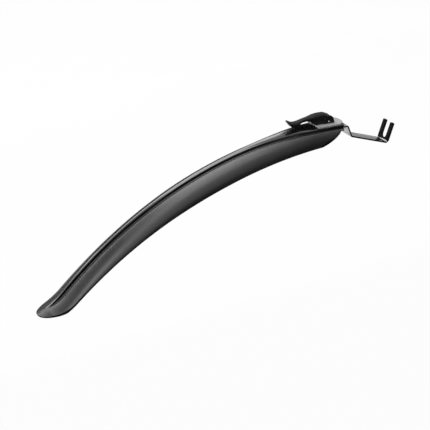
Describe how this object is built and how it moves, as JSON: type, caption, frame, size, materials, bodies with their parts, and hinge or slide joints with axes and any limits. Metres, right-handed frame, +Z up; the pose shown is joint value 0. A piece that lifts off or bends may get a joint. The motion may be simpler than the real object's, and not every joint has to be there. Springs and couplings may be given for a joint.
{
  "type": "bicycle mudguard",
  "caption": "Slim curved black mudguard blade with a raised rib and quick-release lever clamp, on a bent steel strap whose rubber-covered fork slips round a brake bolt.",
  "frame": {"origin": "centre of the round seat of the fork slot, half way through the rubber-covered fork, on the axis of the brake bolt", "axes": "+X forward along the bicycle, +Y to its left, +Z up, in the mounted pose"},
  "size_m": [0.5085, 0.0472, 0.1731],
  "materials": {
    "blade_plastic": "satin black",
    "strap_steel": "polished",
    "fork_rubber": "matt black",
    "plate_metal": "satin silver",
    "lever_plastic": "matt black",
    "pin_steel": "turned",
    "keeper_steel": "brushed",
    "screw_steel": "turned"
  },
  "bodies": {
    "bracket": {"strap": "strap_steel", "fork_sleeve": "fork_rubber"},
    "guard": {"blade": "blade_plastic", "top_plate": "plate_metal", "hinge_block": "lever_plastic", "lever_pin": "pin_steel", "keeper": "keeper_steel", "keeper_screws": "screw_steel"},
    "handle": {"lever": "lever_plastic"}
  },
  "joints": [
    {"name": "blade_slide", "type": "slide", "parent": "bracket", "child": "guard", "axis": [-0.998, 0, 0.0634], "range_m": [0, 0.025]},
    {"name": "lever_hinge", "type": "hinge", "parent": "guard", "child": "handle", "pos_m": [-0.09095, 0, 0.03942], "axis": [0, 1, 0], "range_deg": [0, 80]}
  ]
}
